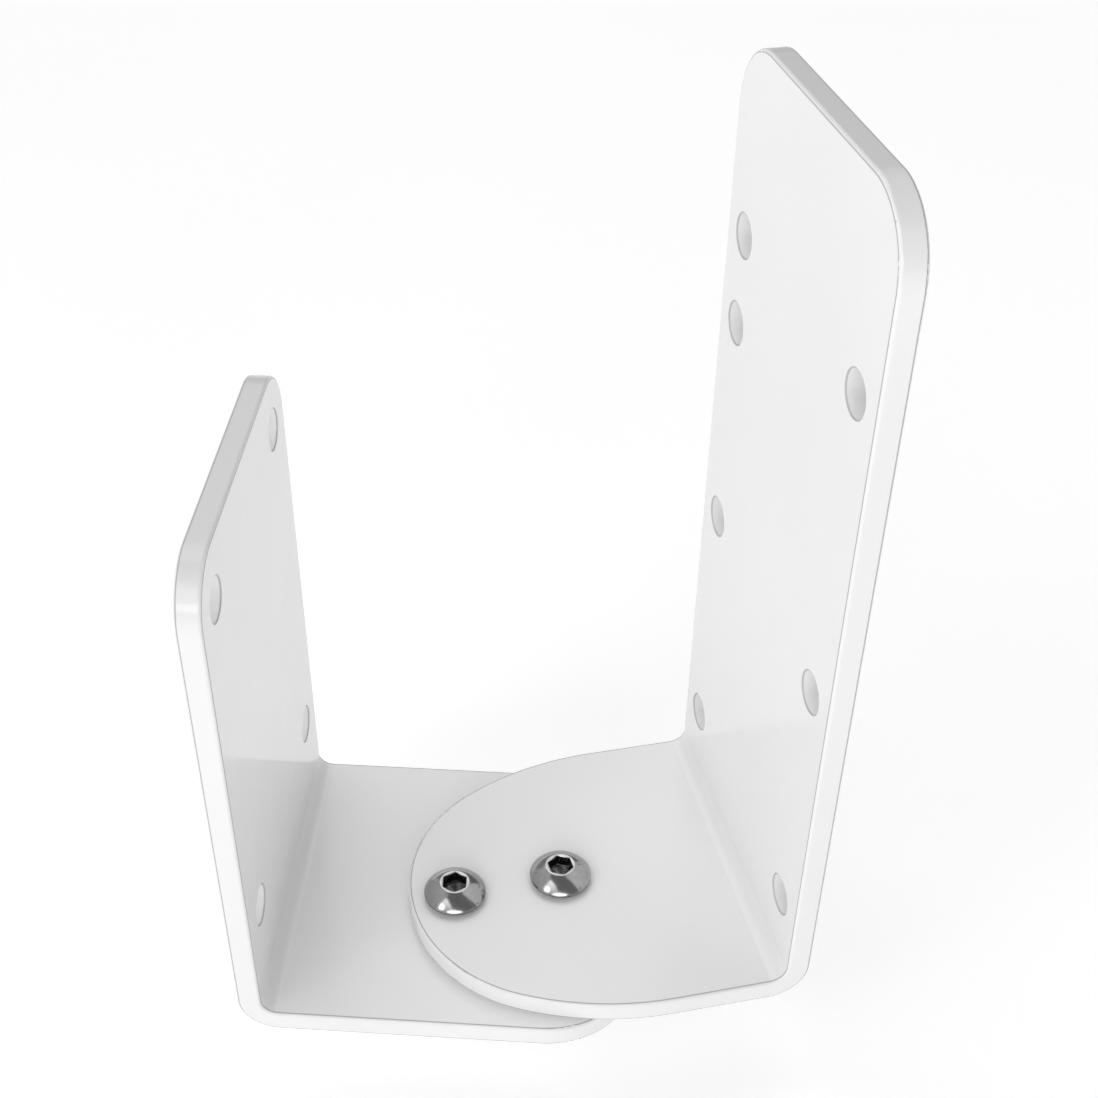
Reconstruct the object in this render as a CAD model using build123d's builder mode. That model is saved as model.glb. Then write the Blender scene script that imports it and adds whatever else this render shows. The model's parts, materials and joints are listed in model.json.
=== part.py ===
"""Swivelling bow bracket: two L-shaped plates whose flanges overlap and turn about a pivot screw.

Frame: +Z up. The origin is the centre of the four fixing holes on the outer face of the
short plate, which stands at x = 0 and is square to X. The tall plate is turned about the
vertical pivot axis by the rest angle.
"""

import os
from math import cos, radians, sin, sqrt

from build123d import *

os.makedirs("parts", exist_ok=True)

# Driving dimensions, in mm and degrees.

# Flat bar that both brackets are bent from.
bar_width = 76.0
bar_thickness = 5.0
bend_inside_radius = 3.5
edge_radius = 0.7
hole_edge_radius = 0.3
fixing_hole_diameter = 8.5

# Lower bracket: short plate, long flange.
short_plate_height = 120.0
short_plate_corner_radius = 12.0
pivot_to_short_plate = 61.0
lower_flange_overhang = 18.0
lower_flange_corner_radius = 20.0
short_plate_hole_rows = (22.5, 103.5)
short_plate_hole_column = 27.5

# Upper bracket: tall plate, round-nosed flange.
tall_plate_height = 180.0
tall_plate_corner_radius = 14.0
pivot_to_tall_plate = 40.0
nose_radius = 34.0
flank_radius = 68.0
tall_plate_hole_rows = (17.0, 73.5, 138.5)
tall_plate_hole_column = 28.75
extra_hole_height = 120.0

# Swivel: the lock screw runs in an arc slot of the lower flange.
rest_angle = 16.25
swivel_limit = 30.0
lock_screw_radius = 24.0
slot_width = 9.0
pivot_hole_diameter = 8.15
lock_hole_diameter = 8.4

# M8 button head socket screw, plain washer and nylon insert lock nut.
screw_diameter = 8.0
screw_length = 25.0
screw_tip_chamfer = 0.9
head_diameter = 13.7
head_height = 4.4
head_seat_diameter = 11.8
head_rim_bottom = 1.1
head_rim_top = 1.5
head_top_diameter = 7.0
socket_across_flats = 5.0
socket_depth = 3.0
socket_mouth_diameter = 6.5
socket_mouth_depth = 0.5
washer_diameter = 16.0
washer_hole_diameter = 8.4
washer_thickness = 1.6
washer_edge_chamfer = 0.2
nut_across_flats = 13.0
nut_height = 8.0
nut_hex_height = 6.2
nut_collar_diameter = 11.6
nut_thread_diameter = 6.8
nut_corner_chamfer = 0.6
insert_seat_height = 5.6
insert_top_height = 7.5
insert_outer_diameter = 9.4
insert_seat_diameter = 9.5
insert_hole_diameter = 7.4
nut_lip_diameter = 8.8
collar_edge_radius = 0.5

# Derived places.
half_width = bar_width / 2
fixing_hole_radius = fixing_hole_diameter / 2
pivot_x = pivot_to_short_plate + bar_thickness
flange_joint_z = -sum(short_plate_hole_rows) / 2
upper_flange_top_z = flange_joint_z + bar_thickness
lower_flange_bottom_z = flange_joint_z - bar_thickness
washer_bottom_z = lower_flange_bottom_z - washer_thickness
turned = (cos(radians(rest_angle)), sin(radians(rest_angle)), 0)

# Each bracket has a plane on its flange's top face, centred on the pivot, whose x runs
# along the flange towards its own upright plate.
lower_flange = Plane(origin=(pivot_x, 0, flange_joint_z), x_dir=(-1, 0, 0), z_dir=(0, 0, 1))
upper_flange = Plane(origin=(pivot_x, 0, upper_flange_top_z), x_dir=turned, z_dir=(0, 0, 1))


def section_plane(flange):
    """Upright plane on the bar's far side, along the flange: x towards the plate, y up."""
    side = flange.origin + flange.y_dir * half_width
    return Plane(origin=side, x_dir=flange.x_dir, z_dir=-flange.y_dir)


def plate_plane(flange, reach):
    """Plane on an upright plate's inner face: x across the bar, y up from the flange's top."""
    origin = flange.origin + flange.x_dir * reach
    return Plane(origin=origin, x_dir=flange.y_dir, z_dir=flange.x_dir)


def bent_section(flange, reach, overhang, height):
    """Side view of a bar bent into an L, drawn on the bar's far side."""
    top = height - bar_thickness
    outer_face = reach + bar_thickness
    with BuildSketch(section_plane(flange)) as section:
        with BuildLine():
            Polyline(
                (reach, top),
                (reach, 0),
                (-overhang, 0),
                (-overhang, -bar_thickness),
                (outer_face, -bar_thickness),
                (outer_face, top),
                close=True,
            )
        make_face()
    return section.sketch


def bend_edges(part, flange, reach, inside):
    """The edge that runs across the bar at the bend, on the inside or the outside."""
    along, up = (reach, 0) if inside else (reach + bar_thickness, -bar_thickness)
    corner = flange.from_local_coords(Vector(along, 0, up))
    return part.edges().sort_by_distance(corner)[0]


def top_corner_edges(part, flange):
    """The two short edges at the ends of an upright plate's top."""
    return part.edges().filter_by(Axis(flange.origin, flange.x_dir)).group_by(Axis.Z)[-1]


def sharp_edges(part):
    """Edges where two faces meet at an angle: the rims of a plate, but not its bend lines."""
    sharp = ShapeList()
    for edge in part.edges():
        middle = edge.position_at(0.5)
        normals = [face.normal_at(middle) for face in part.faces() if edge in face.edges()]
        if normals[0].get_angle(normals[-1]) > 5:
            sharp.append(edge)
    return sharp


def rims(part, radius):
    """Both circular edges of every hole of this radius."""
    circles = part.edges().filter_by(GeomType.CIRCLE)
    return circles.filter_by(lambda edge: edge.is_closed and abs(edge.radius - radius) < 0.01)


# Lower bracket: the flange ends just past the pivot with two round corners.
with BuildPart() as lower_bracket:
    lower_section = bent_section(
        lower_flange, pivot_to_short_plate, lower_flange_overhang, short_plate_height
    )
    extrude(lower_section, amount=bar_width)
    fillet(bend_edges(lower_bracket, lower_flange, pivot_to_short_plate, True), bend_inside_radius)
    fillet(
        bend_edges(lower_bracket, lower_flange, pivot_to_short_plate, False),
        bend_inside_radius + bar_thickness,
    )
    fillet(top_corner_edges(lower_bracket, lower_flange), short_plate_corner_radius)
    flange_end = lower_bracket.edges().filter_by(Axis.Z).group_by(Axis.X)[-1]
    fillet(flange_end, lower_flange_corner_radius)
    fillet(sharp_edges(lower_bracket), edge_radius)
    with BuildSketch(plate_plane(lower_flange, pivot_to_short_plate)):
        columns = (-short_plate_hole_column, short_plate_hole_column)
        with Locations(*[(x, y) for x in columns for y in short_plate_hole_rows]):
            Circle(fixing_hole_radius)
    extrude(amount=bar_thickness, mode=Mode.SUBTRACT)
    with BuildSketch(lower_flange):
        Circle(pivot_hole_diameter / 2)
        with BuildLine(mode=Mode.PRIVATE) as slot_line:
            CenterArc((0, 0), lock_screw_radius, -swivel_limit, 2 * swivel_limit)
        SlotArc(slot_line.line.edge(), slot_width)
    extrude(amount=-bar_thickness, mode=Mode.SUBTRACT)
    fillet(rims(lower_bracket, fixing_hole_radius), hole_edge_radius)
lower_bracket.part.label = "lower_bracket"

# Upper bracket: the nose is an arc about the pivot, and two flatter arcs run from it into
# the bar's straight sides, so it covers the slot at every angle.
flank_rise = flank_radius - half_width
flank_start = sqrt((flank_radius - nose_radius) ** 2 - flank_rise**2)
nose_share = nose_radius / (flank_radius - nose_radius)
nose_end = (-flank_start * nose_share, flank_rise * nose_share)
with BuildPart() as upper_bracket:
    upper_section = bent_section(
        upper_flange, pivot_to_tall_plate, nose_radius, tall_plate_height
    )
    extrude(upper_section, amount=bar_width)
    fillet(bend_edges(upper_bracket, upper_flange, pivot_to_tall_plate, True), bend_inside_radius)
    fillet(
        bend_edges(upper_bracket, upper_flange, pivot_to_tall_plate, False),
        bend_inside_radius + bar_thickness,
    )
    fillet(top_corner_edges(upper_bracket, upper_flange), tall_plate_corner_radius)
    with BuildSketch(upper_flange):
        with BuildLine():
            bar_end = pivot_to_tall_plate + bar_thickness
            Line((bar_end, half_width), (flank_start, half_width))
            TangentArc((flank_start, half_width), nose_end, tangent=(-1, 0))
            ThreePointArc(nose_end, (-nose_radius, 0), (nose_end[0], -nose_end[1]))
            TangentArc((flank_start, -half_width), (nose_end[0], -nose_end[1]), tangent=(-1, 0))
            Line((flank_start, -half_width), (bar_end, -half_width))
            Line((bar_end, -half_width), (bar_end, half_width))
        make_face()
    extrude(amount=tall_plate_height, both=True, mode=Mode.INTERSECT)
    fillet(sharp_edges(upper_bracket), edge_radius)
    with BuildSketch(plate_plane(upper_flange, pivot_to_tall_plate)):
        columns = (-tall_plate_hole_column, tall_plate_hole_column)
        with Locations(*[(x, y) for x in columns for y in tall_plate_hole_rows]):
            Circle(fixing_hole_radius)
        with Locations((tall_plate_hole_column, extra_hole_height)):
            Circle(fixing_hole_radius)
    extrude(amount=bar_thickness, mode=Mode.SUBTRACT)
    with BuildSketch(upper_flange):
        Circle(pivot_hole_diameter / 2)
        with Locations((-lock_screw_radius, 0)):
            Circle(lock_hole_diameter / 2)
    extrude(amount=-bar_thickness, mode=Mode.SUBTRACT)
    fillet(rims(upper_bracket, fixing_hole_radius), hole_edge_radius)
upper_bracket.part.label = "upper_bracket"

export_step(lower_bracket.part, "parts/lower_bracket.step")
export_step(upper_bracket.part, "parts/upper_bracket.step")


def turned_outline(axis_point, height, points):
    """A round piece's half outline, upright beside its axis, with y = 0 at this height."""
    plane = Plane(origin=(axis_point.X, axis_point.Y, height), x_dir=(1, 0, 0), z_dir=(0, -1, 0))
    with BuildSketch(plane) as outline:
        with BuildLine():
            Polyline(*points, close=True)
        make_face()
    return outline.sketch


def make_screw(axis_point, hex_turn):
    """Button head socket screw hanging from the upper flange's top face."""
    seat = Plane(origin=(axis_point.X, axis_point.Y, upper_flange_top_z))
    half_plane = Plane(origin=seat.origin, x_dir=(1, 0, 0), z_dir=(0, -1, 0))
    rim, top = head_diameter / 2, head_top_diameter / 2
    head_seat = head_seat_diameter / 2
    shank = screw_diameter / 2
    # The dome is part of a sphere centred on the axis, through the rim and the top's edge.
    dome_centre = (rim**2 + head_rim_top**2 - top**2 - head_height**2) / (
        2 * (head_rim_top - head_height)
    )
    dome_radius = sqrt(rim**2 + (head_rim_top - dome_centre) ** 2)
    middle_r = (rim + top) / 2
    dome_middle = (middle_r, dome_centre + sqrt(dome_radius**2 - middle_r**2))
    with BuildPart() as screw:
        with BuildSketch(half_plane):
            with BuildLine():
                Polyline(
                    (top, head_height),
                    (0, head_height),
                    (0, -screw_length),
                    (shank - screw_tip_chamfer, -screw_length),
                    (shank, -screw_length + screw_tip_chamfer),
                    (shank, 0),
                    (head_seat, 0),
                    (rim, head_rim_bottom),
                    (rim, head_rim_top),
                )
                ThreePointArc((rim, head_rim_top), dome_middle, (top, head_height))
            make_face()
        revolve(axis=Axis(seat.origin, (0, 0, 1)))
        with BuildSketch(seat.offset(head_height)):
            RegularPolygon(socket_across_flats / 2, 6, major_radius=False, rotation=hex_turn)
        extrude(amount=-socket_depth, mode=Mode.SUBTRACT)
        with BuildSketch(seat.offset(head_height)):
            Circle(socket_mouth_diameter / 2)
        with BuildSketch(seat.offset(head_height - socket_mouth_depth)):
            Circle(socket_across_flats / 2)
        loft(mode=Mode.SUBTRACT)
    return screw.part


def make_washer(axis_point):
    """Plain washer under the lower flange."""
    hole, rim = washer_hole_diameter / 2, washer_diameter / 2
    bevel = washer_edge_chamfer
    points = (
        (hole, 0),
        (rim - bevel, 0),
        (rim, -bevel),
        (rim, bevel - washer_thickness),
        (rim - bevel, -washer_thickness),
        (hole, -washer_thickness),
    )
    with BuildPart() as washer:
        outline = turned_outline(axis_point, lower_flange_bottom_z, points)
        revolve(outline, axis=Axis((axis_point.X, axis_point.Y, 0), (0, 0, 1)))
    return washer.part


def make_nut(axis_point, hex_turn):
    """Lock nut against the washer, its collar and nylon ring pointing down."""
    corner = nut_across_flats / sqrt(3)
    bore, seat = nut_thread_diameter / 2, insert_seat_diameter / 2
    collar, lip = nut_collar_diameter / 2, nut_lip_diameter / 2
    bevel_run = corner - nut_across_flats / 2
    points = (
        (bore, 0),
        (corner - bevel_run, 0),
        (corner, -nut_corner_chamfer),
        (corner, nut_corner_chamfer - nut_hex_height),
        (corner - bevel_run, -nut_hex_height),
        (collar, -nut_hex_height),
        (collar, collar_edge_radius - nut_height),
        (collar - collar_edge_radius, -nut_height),
        (lip, -nut_height),
        (lip, -insert_top_height),
        (seat, -insert_top_height),
        (seat, -insert_seat_height),
        (bore, -insert_seat_height),
    )
    with BuildPart() as nut:
        outline = turned_outline(axis_point, washer_bottom_z, points)
        revolve(outline, axis=Axis((axis_point.X, axis_point.Y, 0), (0, 0, 1)))
        with BuildSketch(Plane(origin=(axis_point.X, axis_point.Y, washer_bottom_z))):
            RegularPolygon(nut_across_flats / 2, 6, major_radius=False, rotation=hex_turn)
        extrude(amount=-nut_height, mode=Mode.INTERSECT)
    return nut.part


def make_insert(axis_point):
    """Nylon ring held in the lock nut's collar."""
    hole, rim = insert_hole_diameter / 2, insert_outer_diameter / 2
    points = (
        (hole, -insert_seat_height),
        (rim, -insert_seat_height),
        (rim, -insert_top_height),
        (hole, -insert_top_height),
    )
    with BuildPart() as insert:
        outline = turned_outline(axis_point, washer_bottom_z, points)
        revolve(outline, axis=Axis((axis_point.X, axis_point.Y, 0), (0, 0, 1)))
    return insert.part


# The pivot screw stands on the swivel axis; the lock screw stands under the upper
# flange's nose, at the slot's radius.
pivot_point = Vector(pivot_x, 0, 0)
lock_point = pivot_point - Vector(*turned) * lock_screw_radius
fastener_sets = (
    ("pivot", pivot_point, 50.0, 12.0),
    ("lock", lock_point, 32.0, 47.0),
)
for name, place, socket_turn, nut_turn in fastener_sets:
    pieces = {
        "screw": make_screw(place, socket_turn),
        "washer": make_washer(place),
        "nut": make_nut(place, nut_turn),
        "nut_insert": make_insert(place),
    }
    for kind, piece in pieces.items():
        piece.label = f"{name}_{kind}"
        export_step(piece, f"parts/{name}_{kind}.step")
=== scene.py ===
"""Looks of the swivelling bow bracket: white powder-coated plates and polished M8 fasteners.

All lengths are in metres. The pivot is the swivel joint's position, and each fastener stands
on its CAD node's box. The plates' distances from the pivot repeat those of the CAD.
"""

import json
import math

import bmesh
import bpy
from mathutils import Matrix, Vector


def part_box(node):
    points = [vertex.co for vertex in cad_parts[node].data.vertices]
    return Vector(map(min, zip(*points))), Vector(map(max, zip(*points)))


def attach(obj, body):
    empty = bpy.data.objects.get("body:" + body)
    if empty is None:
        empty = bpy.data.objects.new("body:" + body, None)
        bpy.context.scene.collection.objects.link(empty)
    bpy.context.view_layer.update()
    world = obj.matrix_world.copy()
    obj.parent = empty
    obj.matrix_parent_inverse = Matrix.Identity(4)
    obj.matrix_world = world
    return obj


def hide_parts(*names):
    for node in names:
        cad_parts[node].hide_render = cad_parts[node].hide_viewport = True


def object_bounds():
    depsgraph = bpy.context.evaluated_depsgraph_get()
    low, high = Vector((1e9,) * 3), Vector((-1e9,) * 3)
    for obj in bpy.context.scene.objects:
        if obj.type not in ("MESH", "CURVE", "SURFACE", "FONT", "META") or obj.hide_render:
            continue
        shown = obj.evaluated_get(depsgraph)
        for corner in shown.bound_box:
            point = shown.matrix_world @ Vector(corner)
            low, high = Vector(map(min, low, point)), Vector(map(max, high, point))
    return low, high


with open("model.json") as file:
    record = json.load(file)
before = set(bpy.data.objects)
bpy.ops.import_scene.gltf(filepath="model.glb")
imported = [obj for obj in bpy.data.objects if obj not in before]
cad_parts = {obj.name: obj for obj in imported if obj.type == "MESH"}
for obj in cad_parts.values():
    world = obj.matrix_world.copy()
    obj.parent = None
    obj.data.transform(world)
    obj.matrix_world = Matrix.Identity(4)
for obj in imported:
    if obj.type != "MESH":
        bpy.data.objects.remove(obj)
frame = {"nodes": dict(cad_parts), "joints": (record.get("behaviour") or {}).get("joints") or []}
cad_box = [list(corner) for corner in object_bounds()]

MM = 0.001
PIVOT = Vector(frame["joints"][0]["pos_m"])

PLATE_THICKNESS = 5 * MM
BEND_RADIUS = 3.5 * MM
PIVOT_TO_SHORT_PLATE = 61 * MM
PIVOT_TO_TALL_PLATE = 40 * MM

# The powder coat's mottle, and the painted shade along its edges, down in holes and on the plate's
# top edges.
COAT_DARK, COAT_LIGHT = (0.87, 0.87, 0.875), (0.9, 0.9, 0.9)
EDGE_PAINTED_SHADE = (0.42, 0.42, 0.43)
HOLE_PAINTED_SHADE = (0.66, 0.66, 0.67)
TOP_PAINTED_SHADE = (0.75, 0.75, 0.76)
# How much of the edges' painted shade lies on a hole's rounded rim.
HOLE_RIM_SHARE = 0.85
# Fixing holes lie within HOLE_REACH of a plate's middle line, above its bend and more than
# EDGE_BAND below its top. TOP_BAND, below the top, holds the whole top edge.
HOLE_REACH = 33.5 * MM
EDGE_BAND = 4 * MM
TOP_BAND = 12 * MM
# Depths in from a plate's inner face between which a hole's wall darkens to its full painted shade.
HOLE_PAINTED_SHADE_DEPTHS = (0.3 * MM, 4.5 * MM)
# A face's slant is 0 along or across its plate. The painted shade along an edge sets in and ends
# with it.
EDGE_PAINTED_SHADE_STARTS, EDGE_PAINTED_SHADE_ENDS = (0.001, 0.03), (0.1, 0.2)
# The squared cosine to the plate's direction: near 1 on its faces, near 0 on hole walls.
HOLE_WALL_SQUARES = (0.0, 0.2)
# Upward cosines over which the top edge's painted shade sets in.
TOPSIDE_UPWARD = (0.6, 0.98)

# Fastener details that the CAD leaves plain. Sizes are those of M8 hardware.
RING_SEGMENTS = 96
THREAD_PITCH = 1.25 * MM
THREAD_DEPTH = 0.62 * MM
THREAD_STEPS = 10
THREAD_START = -1.6 * MM
# A groove's profile is a peak cut off at 0 and at 1: its height and how fast it falls.
GROOVE_PEAK, GROOVE_FALL = 1.3, 2.9
SCREW_RADIUS = 4.0 * MM
SCREW_TIP_RADIUS = 3.1 * MM
SCREW_TIP_CHAMFER = 0.9 * MM
HEAD_RADIUS = 6.85 * MM
HEAD_RIM_TOP = 1.5 * MM
HEAD_RIM_BOTTOM = 1.1 * MM
HEAD_SEAT_RADIUS = 5.9 * MM
HEAD_TOP_RADIUS = 3.25 * MM
HEAD_HEIGHT = 4.4 * MM
SOCKET_FLAT_RADIUS = 2.5 * MM
SOCKET_DEPTH = 3.0 * MM
SOCKET_REACH = SOCKET_FLAT_RADIUS * 1.2
# The socket's mouth, from its walls to the dome: how much wider, how round and how deep.
MOUTH_RINGS = (
    (0.03 * MM, 0.1, 0.14 * MM),
    (0.09 * MM, 0.2, 0.05 * MM),
    (0.16 * MM, 0.35, 0.01 * MM),
    (0.34 * MM, 0.7, 0),
)
MOUTH_DEPTH = 0.2 * MM
MOUTH_SKIN = 0.007 * MM
RIM_ROUNDING = 0.12 * MM
WASHER_HOLE_RADIUS = 4.2 * MM
WASHER_ROUNDING = 0.2 * MM
WASHER_HOLE_BEVEL = 0.12 * MM
NUT_FLAT_RADIUS = 6.5 * MM
NUT_FACE_RADIUS = 6.25 * MM
NUT_HEX_HEIGHT = 6.2 * MM
NUT_CHAMFER_DEGREES = 30
NUT_COLLAR_RADIUS = 5.8 * MM
NUT_COLLAR_ROUNDING = 0.8 * MM
NUT_COLLAR_FOOT = 0.15 * MM
NUT_LIP_RADIUS = 4.4 * MM
NUT_LIP_BEVEL = 0.1 * MM
NUT_BORE_RADIUS = 3.5 * MM
NUT_BORE_MOUTH_RADIUS = 4.2 * MM
NUT_BORE_MOUTH_DEPTH = 0.7 * MM
INSERT_SEAT_RADIUS = 4.75 * MM
INSERT_SEAT_TOP, INSERT_SEAT_BOTTOM = -5.6 * MM, -7.5 * MM
INSERT_HOLE_RADIUS = 3.7 * MM
INSERT_ROUNDING = 0.15 * MM
SLIDING_GAP = 0.02 * MM
# How far each hexagon is turned about its axis, in degrees.
SOCKET_TURNS = {"pivot_screw": 50, "lock_screw": 32}
NUT_TURNS = {"pivot_nut": 12, "lock_nut": 47}


# ---------------------------------------------------------------- mesh tools


def hex_radius(flat_radius, angle):
    """Distance from a hexagon's centre to its side. The corners are at 0, 60, 120 degrees..."""
    return flat_radius / math.cos(angle % (math.pi / 3) - math.pi / 6)


def ring_angles():
    return [2 * math.pi * k / RING_SEGMENTS for k in range(RING_SEGMENTS)]


def circle(radius, height):
    """A round ring at one height."""
    return [(radius, height)] * RING_SEGMENTS


def hexagon(flat_radius, height):
    """A hexagonal ring at one height."""
    return [(hex_radius(flat_radius, angle), height) for angle in ring_angles()]


def arc(centre_r, centre_z, radius, start, end, steps):
    """Round rings along an arc beside the axis. Angles in degrees, 0 outwards and 90 upwards."""
    rings = []
    for k in range(steps + 1):
        angle = math.radians(start + (end - start) * k / steps)
        rings.append(
            circle(centre_r + radius * math.cos(angle), centre_z + radius * math.sin(angle))
        )
    return rings


def ring_mesh(name, rings, turn=0.0, looped=False, sharp_degrees=24):
    """A closed solid made of rings. Each ring is a list of (radius, height), one per angle."""
    bm = bmesh.new()
    rows = []
    for ring in rings:
        row = []
        for angle, (radius, height) in zip(ring_angles(), ring):
            spot = angle + math.radians(turn)
            row.append(bm.verts.new((radius * math.cos(spot), radius * math.sin(spot), height)))
        rows.append(row)
    pairs = list(zip(rows, rows[1:]))
    if looped:
        pairs.append((rows[-1], rows[0]))
    for lower, upper in pairs:
        for k in range(RING_SEGMENTS):
            j = (k + 1) % RING_SEGMENTS
            bm.faces.new((lower[k], lower[j], upper[j], upper[k]))
    bmesh.ops.remove_doubles(bm, verts=bm.verts, dist=1e-7)
    bmesh.ops.dissolve_degenerate(bm, edges=bm.edges, dist=1e-7)
    bmesh.ops.recalc_face_normals(bm, faces=bm.faces)
    limit = math.radians(sharp_degrees)
    for edge in bm.edges:
        edge.smooth = len(edge.link_faces) == 2 and edge.calc_face_angle() < limit
    for face in bm.faces:
        face.smooth = True
    mesh = bpy.data.meshes.new(name)
    bm.to_mesh(mesh)
    bm.free()
    piece = bpy.data.objects.new(name, mesh)
    bpy.context.scene.collection.objects.link(piece)
    return piece


# ---------------------------------------------------------------- fasteners


def threads(top, bottom):
    """Rings of a thread from one height down to another, faded at the top, tapered at the tip."""
    rings = []
    steps = round((top - bottom) / THREAD_PITCH * THREAD_STEPS)
    for k in range(steps + 1):
        height = top + (bottom - top) * k / steps
        ring = []
        for angle in ring_angles():
            phase = (height / THREAD_PITCH - angle / (2 * math.pi)) % 1.0
            groove = min(max(GROOVE_PEAK - abs(phase - 0.5) * GROOVE_FALL, 0.0), 1.0)
            run_out = min((top - height) / THREAD_PITCH, 1.0)
            tip_fade = min((height - bottom) / SCREW_TIP_CHAMFER, 1.0)
            crest = SCREW_TIP_RADIUS + (SCREW_RADIUS - SCREW_TIP_RADIUS) * tip_fade
            root = SCREW_RADIUS - THREAD_DEPTH
            radius = crest - max(crest - root, 0.0) * groove * run_out
            ring.append((radius, height))
        rings.append(ring)
    return rings


def make_screw(node, body):
    """Button head socket screw. Height 0 is the seat under its head."""
    low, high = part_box(node)
    middle = (low + high) / 2
    seat = high.z - HEAD_HEIGHT
    tip = low.z - seat
    rim, top, height = HEAD_RADIUS, HEAD_TOP_RADIUS, HEAD_HEIGHT
    rim_top = HEAD_RIM_TOP
    dome_z = (rim**2 + rim_top**2 - top**2 - height**2) / (2 * (rim_top - height))
    dome_radius = math.hypot(rim, rim_top - dome_z)
    dome_start = math.degrees(math.atan2(height - dome_z, top))
    dome_end = math.degrees(math.atan2(rim_top - dome_z, rim))
    floor = height - SOCKET_DEPTH

    def mouth(inner, share, drop):
        """A ring of the socket's bevelled mouth, part hexagon and part circle."""
        ring = []
        for angle in ring_angles():
            straight = hex_radius(inner, angle)
            ring.append((straight + (inner * 1.1 - straight) * share, height - drop))
        return ring

    # From the drill point in the socket's floor, up its walls, over the head and down the shank.
    rings = [
        circle(0, floor - 1.2 * MM),
        circle(0.9 * MM, floor - 0.75 * MM),
        circle(2.05 * MM, floor - 0.12 * MM),
        circle(2.2 * MM, floor),
        hexagon(SOCKET_FLAT_RADIUS - 0.1 * MM, floor),
        hexagon(SOCKET_FLAT_RADIUS, floor + 0.1 * MM),
        hexagon(SOCKET_FLAT_RADIUS, height - 0.24 * MM),
    ]
    rings += [mouth(SOCKET_FLAT_RADIUS + wider, share, drop) for wider, share, drop in MOUTH_RINGS]
    rings += arc(0, dome_z, dome_radius, dome_start, dome_end + 1.0, 20)
    rounding = RIM_ROUNDING
    rings += arc(rim - rounding, rim_top - 0.08 * MM, rounding, 40, 0, 4)
    rings += arc(rim - rounding, HEAD_RIM_BOTTOM + 0.06 * MM, rounding, 0, -45, 4)
    rings += [
        circle(HEAD_SEAT_RADIUS + 0.06 * MM, 0.12 * MM),
        circle(HEAD_SEAT_RADIUS, 0.04 * MM),
        circle(HEAD_SEAT_RADIUS - 0.08 * MM, 0),
        circle(4.5 * MM, 0),
        circle(4.15 * MM, -0.15 * MM),
        circle(SCREW_RADIUS, -0.4 * MM),
    ]
    rings += threads(THREAD_START, tip)
    rings += [circle(SCREW_TIP_RADIUS * 0.5, tip), circle(0, tip)]
    screw = ring_mesh(node + "_visual", rings, SOCKET_TURNS[node])
    for face in screw.data.polygons:
        reach = math.hypot(face.center.x, face.center.y)
        z = face.center.z
        in_socket = floor - 2 * MM < z < height - MOUTH_DEPTH and reach < SOCKET_REACH
        under_rim = 0 < z < rim_top - 0.1 * MM and reach > SOCKET_REACH
        on_mouth = height - MOUTH_DEPTH < z < height - MOUTH_SKIN and reach < top
        # The socket's walls and the underside of the head's rim get painted shade.
        if in_socket or under_rim:
            face.material_index = 1
        # A painted highlight lightens the socket's bevelled mouth.
        elif on_mouth:
            face.material_index = 2
    finish_piece(screw, (middle.x, middle.y, seat), node, body, "polished_stainless")
    screw.data.materials.append(materials["painted_shade_steel"])
    screw.data.materials.append(materials["painted_highlight_steel"])


def make_washer(node, body):
    """Plain washer with slightly rounded edges. Height 0 is its middle."""
    low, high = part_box(node)
    middle = (low + high) / 2
    half = (high.z - low.z) / 2 - SLIDING_GAP
    outer, inner, edge = (high.x - low.x) / 2, WASHER_HOLE_RADIUS, WASHER_ROUNDING
    bevel = WASHER_HOLE_BEVEL
    rings = arc(outer - edge, half - edge, edge, 90, 0, 5)
    rings += arc(outer - edge, edge - half, edge, 0, -90, 5)
    rings += [
        circle(inner + bevel, -half),
        circle(inner, bevel - half),
        circle(inner, half - bevel),
        circle(inner + bevel, half),
    ]
    washer = ring_mesh(node + "_visual", rings, looped=True)
    finish_piece(washer, middle, node, body, "plain_stainless")


def make_nut(node, body):
    """Lock nut with chamfered corners and a rolled collar. Height 0 is its bearing face."""
    low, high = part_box(node)
    middle = (low + high) / 2
    bottom = low.z - high.z
    hex_bottom = -NUT_HEX_HEIGHT
    slope = math.tan(math.radians(NUT_CHAMFER_DEGREES))

    def chamfered(radius_limit, height, towards):
        """The hexagon where a shallow cone cuts it; the cone passes radius_limit at height."""
        ring = []
        for angle in ring_angles():
            side = hex_radius(NUT_FLAT_RADIUS, angle)
            ring.append((side, height + towards * max(side - radius_limit, 0) * slope))
        return ring

    face, collar, lip = NUT_FACE_RADIUS, NUT_COLLAR_RADIUS, NUT_LIP_RADIUS
    rounding, foot = NUT_COLLAR_ROUNDING, NUT_COLLAR_FOOT
    rings = [
        circle(NUT_BORE_RADIUS, INSERT_SEAT_TOP),
        circle(NUT_BORE_RADIUS, -NUT_BORE_MOUTH_DEPTH),
        circle(NUT_BORE_MOUTH_RADIUS, 0),
        circle(face, 0),
        chamfered(face, 0, -1),
        chamfered(face, hex_bottom, 1),
        circle(face, hex_bottom),
        circle(collar + foot, hex_bottom),
        circle(collar, hex_bottom - foot),
    ]
    rings += arc(collar - rounding, bottom + rounding, rounding, 0, -90, 8)
    rings += [
        circle(lip + NUT_LIP_BEVEL, bottom),
        circle(lip, bottom + NUT_LIP_BEVEL),
        circle(lip, INSERT_SEAT_BOTTOM),
        circle(INSERT_SEAT_RADIUS, INSERT_SEAT_BOTTOM),
        circle(INSERT_SEAT_RADIUS, INSERT_SEAT_TOP),
    ]
    nut = ring_mesh(node + "_visual", rings, NUT_TURNS[node], looped=True)
    finish_piece(nut, (middle.x, middle.y, high.z), node, body, "plain_stainless")


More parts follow.
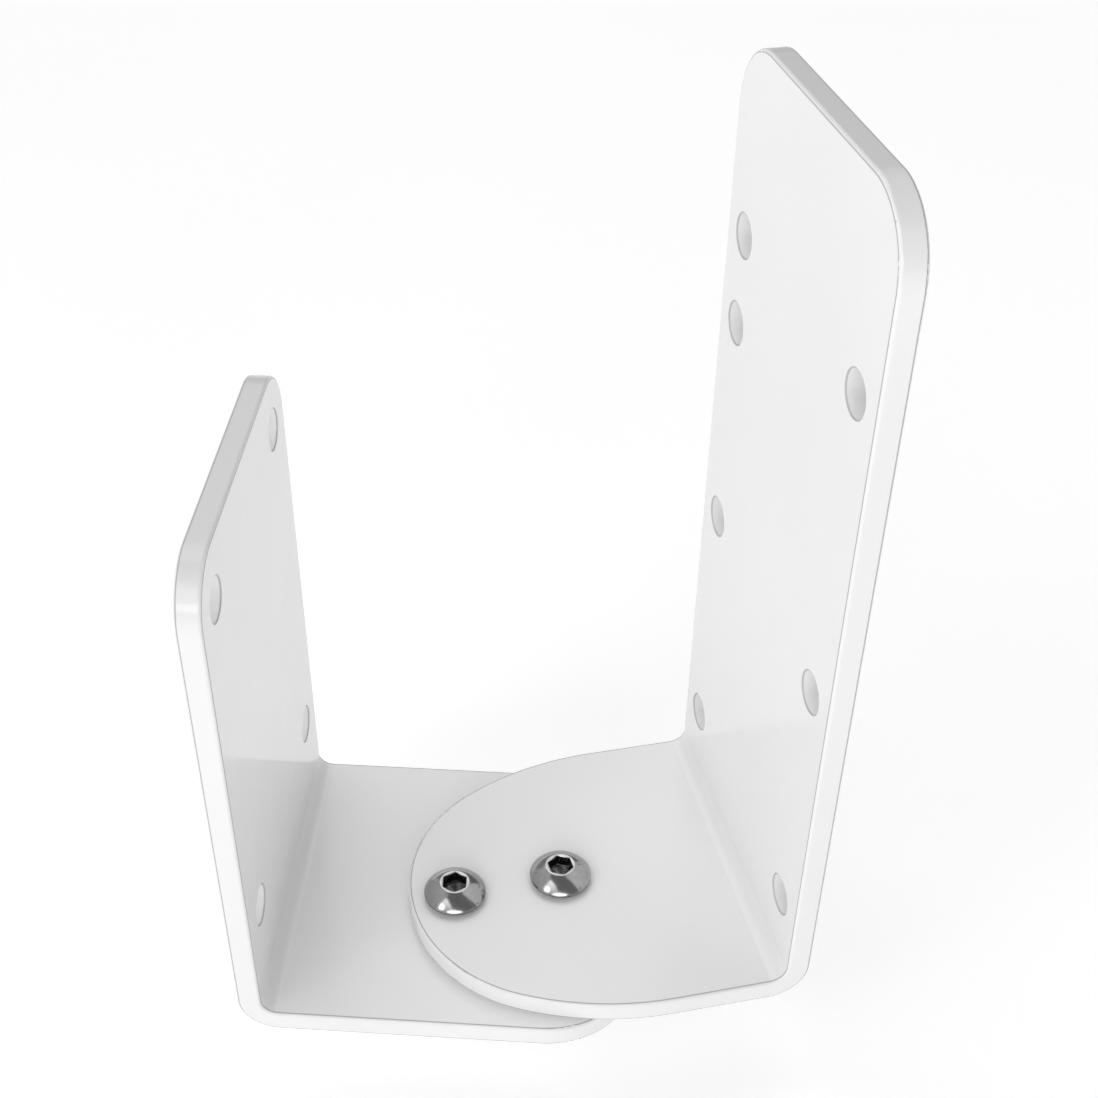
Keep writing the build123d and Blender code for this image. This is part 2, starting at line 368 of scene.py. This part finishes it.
def make_insert(node, body):
    """Nylon ring of a lock nut, rounded on all its edges. Height 0 is its middle."""
    low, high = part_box(node)
    middle = (low + high) / 2
    half = (high.z - low.z) / 2
    outer, inner, edge = (high.x - low.x) / 2, INSERT_HOLE_RADIUS, INSERT_ROUNDING
    rings = arc(outer - edge, half - edge, edge, 90, 0, 4)
    rings += arc(outer - edge, edge - half, edge, 0, -90, 4)
    rings += arc(inner + edge, edge - half, edge, -90, -180, 4)
    rings += arc(inner + edge, half - edge, edge, 180, 90, 4)
    ring = ring_mesh(node + "_visual", rings, looped=True)
    finish_piece(ring, middle, node, body, "nylon")


def finish_piece(piece, spot, node, body, slot_name):
    """Puts a piece in its place, in its CAD node's stead, moving with its body."""
    piece.data.transform(Matrix.Translation(Vector(spot)))
    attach(piece, body)
    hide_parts(node)
    piece.data.materials.append(materials[slot_name])


# ---------------------------------------------------------------- materials


class Shader:
    """A small helper for building one node material."""

    def __init__(self, name):
        self.material = bpy.data.materials.new(name)
        self.material.use_nodes = True
        self.tree = self.material.node_tree
        self.surface = self.tree.nodes["Principled BSDF"]
        coordinates = self.tree.nodes.new("ShaderNodeTexCoord")
        self.place = coordinates.outputs["Object"]
        self.facing = coordinates.outputs["Normal"]

    def put(self, **sockets):
        """Sets the surface shader's sockets, by name with underscores for spaces."""
        for name, value in sockets.items():
            self.surface.inputs[name.replace("_", " ")].default_value = value

    def link(self, source, target):
        self.tree.links.new(source, target)

    def noise(self, scale, detail=2.0, roughness=0.5, stretch=None):
        node = self.tree.nodes.new("ShaderNodeTexNoise")
        node.inputs["Scale"].default_value = scale
        node.inputs["Detail"].default_value = detail
        node.inputs["Roughness"].default_value = roughness
        source = self.place
        if stretch:
            mapping = self.tree.nodes.new("ShaderNodeMapping")
            mapping.inputs["Scale"].default_value = stretch
            self.link(source, mapping.inputs["Vector"])
            source = mapping.outputs["Vector"]
        self.link(source, node.inputs["Vector"])
        return node.outputs["Fac"]

    def remap(self, source, low, high, start=0.3, end=0.7):
        """Turns a texture's values from start to end into low to high."""
        node = self.tree.nodes.new("ShaderNodeMapRange")
        node.inputs["From Min"].default_value = start
        node.inputs["From Max"].default_value = end
        node.inputs["To Min"].default_value = low
        node.inputs["To Max"].default_value = high
        self.link(source, node.inputs["Value"])
        return node.outputs["Result"]

    def mix_colour(self, factor, first, second):
        node = self.tree.nodes.new("ShaderNodeMix")
        node.data_type = "RGBA"
        # The colour sockets are the mix node's seventh and eighth inputs, and its third output.
        self.feed(node.inputs[6], first)
        self.feed(node.inputs[7], second)
        self.link(factor, node.inputs[0])
        return node.outputs[2]

    def paint(self, texture, dark, light):
        """Mottles the surface between two colours."""
        colour = self.mix_colour(self.remap(texture, 0, 1), dark, light)
        self.link(colour, self.surface.inputs["Base Color"])

    def roughen(self, texture, low, high):
        """Varies the roughness between two values."""
        self.link(self.remap(texture, low, high), self.surface.inputs["Roughness"])

    def feed(self, socket, value):
        """Links a node's output to a socket, or sets the socket to a plain value."""
        if isinstance(value, bpy.types.NodeSocket):
            self.link(value, socket)
        elif isinstance(value, (int, float)):
            socket.default_value = value
        else:
            filled = list(value) + [1.0]
            socket.default_value = filled[: len(socket.default_value)]

    def math(self, operation, first, second):
        node = self.tree.nodes.new("ShaderNodeMath")
        node.operation = operation
        self.feed(node.inputs[0], first)
        self.feed(node.inputs[1], second)
        return node.outputs["Value"]

    def product(self, first, *others):
        for other in others:
            first = self.math("MULTIPLY", first, other)
        return first

    def vector(self, operation, first, second=None, output="Vector"):
        node = self.tree.nodes.new("ShaderNodeVectorMath")
        node.operation = operation
        self.feed(node.inputs[0], first)
        if operation == "SCALE":
            self.feed(node.inputs["Scale"], second)
        elif second is not None:
            self.feed(node.inputs[1], second)
        return node.outputs[output]

    def bump(self, height, strength, distance, under=None):
        node = self.tree.nodes.new("ShaderNodeBump")
        node.inputs["Strength"].default_value = strength
        node.inputs["Distance"].default_value = distance
        self.link(height, node.inputs["Height"])
        if under:
            self.link(under, node.inputs["Normal"])
        self.link(node.outputs["Normal"], self.surface.inputs["Normal"])
        return node.outputs["Normal"]


def plate_cosine(shader, plate_way, bend_reach, from_pivot, reach):
    """Cosine of the angle between a face's direction and its plate's own.

    The plate's own direction is plate_way above the bend, upright below it, and turns between.
    """
    out = shader.math("MAXIMUM", shader.math("SUBTRACT", reach, bend_reach), 0.0)
    outward = shader.vector("SCALE", plate_way, out)
    downward = shader.vector("MINIMUM", shader.vector("MULTIPLY", from_pivot, (0, 0, 1)), (0, 0, 0))
    across = shader.vector("NORMALIZE", shader.vector("ADD", outward, downward))
    return shader.vector("DOT_PRODUCT", across, shader.facing, "Value")


def powder_coat(name, plate_way, bend_reach, bend_height, top, hole_painted_shade_share):
    """White, half-gloss powder coat with an orange-peel skin.

    Shade is painted into it as a thin grey line along edges, round and inside fixing holes and on
    the plate's top edge. An edge is where the surface is neither along nor across its plate.
    """
    shader = Shader(name)
    from_pivot = shader.vector("SUBTRACT", shader.place, (PIVOT.x, PIVOT.y, bend_height))
    reach = shader.vector("DOT_PRODUCT", from_pivot, plate_way, "Value")
    rise = shader.vector("DOT_PRODUCT", from_pivot, (0, 0, 1), "Value")
    plate_side = Vector((-plate_way.y, plate_way.x, 0))
    sideways = shader.vector("DOT_PRODUCT", from_pivot, plate_side, "Value")
    aside = shader.math("ABSOLUTE", sideways, 0.0)
    cosine = plate_cosine(shader, plate_way, bend_reach, from_pivot, reach)
    square = shader.math("MULTIPLY", cosine, cosine)
    slant = shader.math("MULTIPLY", square, shader.math("SUBTRACT", 1.0, square))
    inside = shader.product(
        shader.math("LESS_THAN", aside, HOLE_REACH),
        shader.math("LESS_THAN", rise, top - bend_height - EDGE_BAND),
        shader.math("GREATER_THAN", rise, 0.0),
    )

    # Painted shade on hole walls, darker with depth.
    mottle = shader.remap(shader.noise(18, 3), 0, 1)
    coat = shader.mix_colour(mottle, COAT_DARK, COAT_LIGHT)
    depth = shader.math("SUBTRACT", reach, bend_reach + BEND_RADIUS)
    deep = shader.remap(depth, 0, 1, *HOLE_PAINTED_SHADE_DEPTHS)
    across_plate = shader.remap(square, 1.0, 0.0, *HOLE_WALL_SQUARES)
    wall = shader.product(inside, deep, hole_painted_shade_share, across_plate)
    coat = shader.mix_colour(wall, coat, HOLE_PAINTED_SHADE)

    # Painted shade on the plate's top edge.
    upward = shader.vector("DOT_PRODUCT", shader.facing, (0, 0, 1), "Value")
    near_top = shader.math("GREATER_THAN", rise, top - bend_height - TOP_BAND)
    topside = shader.product(shader.remap(upward, 0, 1, *TOPSIDE_UPWARD), near_top)
    coat = shader.mix_colour(topside, coat, TOP_PAINTED_SHADE)

    # Painted shade in thin lines along edges. On the side the plates face each other, only the line
    # next to the face is kept. Round a hole, the whole rounded rim gets painted shade.
    starts = shader.remap(slant, 0, 1, *EDGE_PAINTED_SHADE_STARTS)
    next_to_face = shader.math("GREATER_THAN", square, 0.5)
    outer_side = shader.math("GREATER_THAN", cosine, 0.0)
    kept = shader.math("MAXIMUM", next_to_face, outer_side)
    line = shader.product(starts, shader.remap(slant, 1, 0, *EDGE_PAINTED_SHADE_ENDS), kept)
    rim = shader.product(starts, inside, HOLE_RIM_SHARE)
    colour = shader.mix_colour(shader.math("MAXIMUM", line, rim), coat, EDGE_PAINTED_SHADE)
    shader.link(colour, shader.surface.inputs["Base Color"])

    shader.roughen(shader.noise(60, 4), 0.1, 0.17)
    waves = shader.bump(shader.noise(420, 2), 0.3, 0.00003)
    shader.bump(shader.noise(2600, 3), 0.2, 0.00001, waves)
    shader.put(IOR=1.5)
    return shader.material


def polished_stainless():
    """Polished steel with hairline polishing marks."""
    shader = Shader("polished_stainless")
    shader.paint(shader.noise(900, 3), (0.4, 0.4, 0.405), (0.46, 0.46, 0.46))
    shader.roughen(shader.noise(1500, 4), 0.13, 0.19)
    marks = shader.noise(700, 4, 0.6, (1, 6, 1))
    shader.bump(marks, 0.12, 0.00001)
    shader.put(Metallic=1.0)
    return shader.material


def painted_highlight_steel():
    """The socket's bevelled mouth, with a painted highlight that makes it lighter than the rest of
    the screw.
    """
    shader = Shader("painted_highlight_steel")
    shader.paint(shader.noise(700, 3), (0.56, 0.56, 0.57), (0.66, 0.66, 0.66))
    shader.roughen(shader.noise(1200, 3), 0.25, 0.35)
    shader.bump(shader.noise(2500, 3), 0.15, 0.00001)
    shader.put(Metallic=1.0)
    return shader.material


def painted_shade_steel():
    """Steel darkened with painted shade, for a hex socket's walls and the underside of a head's
    rim.
    """
    shader = Shader("painted_shade_steel")
    shader.paint(shader.noise(1600, 3), (0.09, 0.09, 0.09), (0.2, 0.2, 0.2))
    shader.roughen(shader.noise(1500, 4), 0.2, 0.35)
    shader.bump(shader.noise(900, 3, 0.6, (4, 4, 1)), 0.3, 0.00003)
    shader.put(Metallic=1.0)
    return shader.material


def plain_stainless():
    """Bare turned steel, rougher than the screws, with fine tool marks."""
    shader = Shader("plain_stainless")
    shader.paint(shader.noise(500, 4), (0.36, 0.36, 0.365), (0.45, 0.45, 0.45))
    shader.roughen(shader.noise(1200, 4), 0.22, 0.38)
    marks = shader.noise(900, 3, 0.6, (1, 1, 9))
    shader.bump(marks, 0.2, 0.00002)
    shader.put(Metallic=1.0)
    return shader.material


def nylon():
    """Milky nylon, slightly see-through."""
    shader = Shader("nylon")
    shader.paint(shader.noise(700, 3), (0.74, 0.74, 0.70), (0.82, 0.82, 0.79))
    shader.roughen(shader.noise(1800, 3), 0.38, 0.52)
    shader.bump(shader.noise(2200, 3), 0.15, 0.00001)
    shader.put(Subsurface_Weight=0.25, Subsurface_Radius=(0.001, 0.001, 0.001))
    return shader.material


materials = {
    "polished_stainless": polished_stainless(),
    "painted_shade_steel": painted_shade_steel(),
    "painted_highlight_steel": painted_highlight_steel(),
    "plain_stainless": plain_stainless(),
    "nylon": nylon(),
}

for set_name, body in (("pivot", "fixed_bracket"), ("lock", "swivel_bracket")):
    make_screw(f"{set_name}_screw", body)
    make_washer(f"{set_name}_washer", body)
    make_nut(f"{set_name}_nut", body)
    make_insert(f"{set_name}_nut_insert", body)

lock_low, lock_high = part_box("lock_screw")
towards_tall = (PIVOT - (lock_low + lock_high) / 2) * Vector((1, 1, 0))
towards_tall.normalize()
# The last value is how much of the hole walls' painted shade each bracket takes.
for node, way, inner_face, flange_top, hole_painted_shade_share in (
    ("lower_bracket", Vector((-1, 0, 0)), PIVOT_TO_SHORT_PLATE, PIVOT.z, 0.05),
    ("upper_bracket", towards_tall, PIVOT_TO_TALL_PLATE, PIVOT.z + PLATE_THICKNESS, 0.5),
):
    coat = powder_coat(
        f"powder_coat_{node}",
        way,
        inner_face - BEND_RADIUS,
        flange_top + BEND_RADIUS,
        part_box(node)[1].z,
        hole_painted_shade_share,
    )
    bracket = frame["nodes"][node]
    bracket.data.materials.clear()
    bracket.data.materials.append(coat)


# ---------------------------------------------------------------- studio

FLOOR_REACH = 4.0
FLOOR_GAP = 0.4 * MM
FLOOR_GLOW = 0.4

# Strength of the sky: high up, half way, low down and in the dark gap.
HIGH_SKY = 1.3
MIDDLE_SKY = 0.3
HORIZON = 0.58
DARK_SKY = 0.22
HIGH_SKY_Z = (0.35, 0.9)
HORIZON_Z = (0.1, 0.2)
# How far the high sky brightens to the left, and the whole sky to the left and the front.
LEFT_LEAN = 0.72
SIDE_LEAN = 0.28
FRONT_LEAN = 0.3
BACK_GLOW = 0.6
GLOW_WAY = (-0.05, 0.66, 0.75)
GLOW_REACH = math.radians(33)
# The dark gap: both its sides slant to the right towards the front, and its lower edge sinks
# to the right. Each side fades between two values.
GAP_LEFT_SLANT, GAP_LEFT = 0.72, (-0.71, -0.59)
GAP_RIGHT_SLANT, GAP_RIGHT = 1.29, (0.31, 0.46)
GAP_BACK = (-0.2, -0.05)
GAP_LOWER_SLANT, GAP_LOWER = 0.3, (0.5, 0.64)

# Each lamp's name, bearing and height in degrees, size in metres and power in watts.
LAMP_DISTANCE = 1.2
LAMPS = (
    ("key", -46, 29, (0.42, 0.42), 1.05),
    ("front", 2, 22, (1.1, 0.4), 3.2),
)


def make_floor():
    """A pale table just under the screws' tips. It glows a little, so that it looks white."""
    height = cad_box[0][2] - FLOOR_GAP
    reach = FLOOR_REACH
    mesh = bpy.data.meshes.new("studio_floor")
    corners = [(-reach, -reach), (reach, -reach), (reach, reach), (-reach, reach)]
    mesh.from_pydata([(x, y, height) for x, y in corners], [], [(0, 1, 2, 3)])
    floor = bpy.data.objects.new("studio_floor", mesh)
    bpy.context.scene.collection.objects.link(floor)
    shader = Shader("studio_floor")
    shader.paint(shader.noise(3, 2), (0.78, 0.78, 0.78), (0.8, 0.8, 0.8))
    shader.put(Roughness=0.8, Emission_Color=(1, 1, 1, 1), Emission_Strength=FLOOR_GLOW)
    mesh.materials.append(shader.material)


def make_world():
    """Soft light from high up and from low down, with a dark gap overhead and in front."""
    world = bpy.data.worlds.new("studio")
    bpy.context.scene.world = world
    world.use_nodes = True
    tree = world.node_tree
    nodes, links = tree.nodes, tree.links

    def number(operation, first, second=None):
        node = nodes.new("ShaderNodeMath")
        node.operation = operation
        for socket, value in zip(node.inputs, (first, second)):
            if isinstance(value, (int, float)):
                socket.default_value = value
            elif value is not None:
                links.new(value, socket)
        return node.outputs["Value"]

    def ramp(source, start, end, low=0.0, high=1.0):
        node = nodes.new("ShaderNodeMapRange")
        node.interpolation_type = "SMOOTHSTEP"
        node.inputs["From Min"].default_value = start
        node.inputs["From Max"].default_value = end
        node.inputs["To Min"].default_value = low
        node.inputs["To Max"].default_value = high
        links.new(source, node.inputs["Value"])
        return node.outputs["Result"]

    direction = nodes.new("ShaderNodeSeparateXYZ")
    direction_vector = nodes.new("ShaderNodeTexCoord").outputs["Generated"]
    links.new(direction_vector, direction.inputs[0])
    x, y, z = direction.outputs
    high = ramp(z, *HIGH_SKY_Z)
    near_floor = ramp(z, *HORIZON_Z, 1.0, 0.0)
    high_level = number("SUBTRACT", HIGH_SKY, number("MULTIPLY", x, LEFT_LEAN))
    high_level = number("SUBTRACT", high_level, MIDDLE_SKY)
    sky = number("ADD", number("MULTIPLY", high, high_level), MIDDLE_SKY)
    sky = number("ADD", sky, number("MULTIPLY", near_floor, HORIZON - MIDDLE_SKY))
    towards_glow = nodes.new("ShaderNodeVectorMath")
    towards_glow.operation = "DOT_PRODUCT"
    links.new(direction_vector, towards_glow.inputs[0])
    towards_glow.inputs[1].default_value = GLOW_WAY
    glow = ramp(towards_glow.outputs["Value"], math.cos(GLOW_REACH), math.cos(GLOW_REACH / 3))
    sky = number("ADD", sky, number("MULTIPLY", glow, BACK_GLOW))
    frontward = number("MULTIPLY", y, -1.0)
    lean = number("SUBTRACT", 1.0, number("MULTIPLY", x, SIDE_LEAN))
    lean = number("ADD", lean, number("MULTIPLY", frontward, FRONT_LEAN))
    sky = number("MULTIPLY", sky, lean)
    slanted = number("SUBTRACT", x, number("MULTIPLY", frontward, GAP_LEFT_SLANT))
    left_side = ramp(slanted, *GAP_LEFT)
    slanted = number("SUBTRACT", x, number("MULTIPLY", frontward, GAP_RIGHT_SLANT))
    right_side = ramp(slanted, *GAP_RIGHT, 1.0, 0.0)
    past_top = ramp(frontward, *GAP_BACK)
    rising = number("ADD", z, number("MULTIPLY", x, GAP_LOWER_SLANT))
    above = ramp(rising, *GAP_LOWER)
    gap = number("MULTIPLY", number("MULTIPLY", left_side, right_side), above)
    gap = number("MULTIPLY", gap, past_top)
    lit = number("MULTIPLY", sky, number("SUBTRACT", 1.0, gap))
    strength = number("ADD", lit, number("MULTIPLY", gap, DARK_SKY))
    background = nodes["Background"]
    background.inputs["Color"].default_value = (1, 1, 1, 1)
    links.new(strength, background.inputs["Strength"])


def make_lamp(name, bearing, height, size, power):
    """A soft oval lamp pointing at the bracket. Bearing 0 is in front, positive to the right."""
    turn, rise = math.radians(bearing), math.radians(height)
    towards = Vector(
        (math.sin(turn) * math.cos(rise), -math.cos(turn) * math.cos(rise), math.sin(rise))
    )
    data = bpy.data.lights.new(name, "AREA")
    data.shape = "ELLIPSE"
    data.size, data.size_y = size
    data.energy = power
    lamp = bpy.data.objects.new(name, data)
    lamp.location = PIVOT + towards * LAMP_DISTANCE
    lamp.rotation_mode = "QUATERNION"
    lamp.rotation_quaternion = towards.to_track_quat("Z", "Y")
    bpy.context.scene.collection.objects.link(lamp)


# Where the camera stands, its angles in degrees, and its lens in mm.
CAMERA_FROM_PIVOT = Vector((8.276, -250.953, 285.992)) * MM
CAMERA_YAW = -4.436
CAMERA_PITCH = 39.505
CAMERA_ROLL = -0.218
SENSOR = 36.0
LENS = 54.35
SHIFT_X = 0.0359
SHIFT_Y = 0.0675
CLIP_START, CLIP_END = 0.01, 20


def make_camera():
    """Looks down at the bracket from the front."""
    yaw, pitch, roll = (math.radians(a) for a in (CAMERA_YAW, CAMERA_PITCH, CAMERA_ROLL))
    forward = Vector(
        (math.sin(yaw) * math.cos(pitch), math.cos(yaw) * math.cos(pitch), -math.sin(pitch))
    )
    level = Vector((math.cos(yaw), -math.sin(yaw), 0))
    up = level.cross(forward)
    right = level * math.cos(roll) + up * math.sin(roll)
    top = up * math.cos(roll) - level * math.sin(roll)
    data = bpy.data.cameras.new("camera")
    data.sensor_width = SENSOR
    data.lens = LENS
    data.shift_x, data.shift_y = SHIFT_X, SHIFT_Y
    data.clip_start, data.clip_end = CLIP_START, CLIP_END
    camera = bpy.data.objects.new("camera", data)
    camera.rotation_mode = "QUATERNION"
    camera.rotation_quaternion = Matrix((right, top, -forward)).transposed().to_quaternion()
    camera.location = PIVOT + CAMERA_FROM_PIVOT
    bpy.context.scene.collection.objects.link(camera)
    bpy.context.scene.camera = camera


make_floor()
make_world()
for lamp_values in LAMPS:
    make_lamp(*lamp_values)
make_camera()
bpy.context.scene.view_settings.view_transform = "Standard"
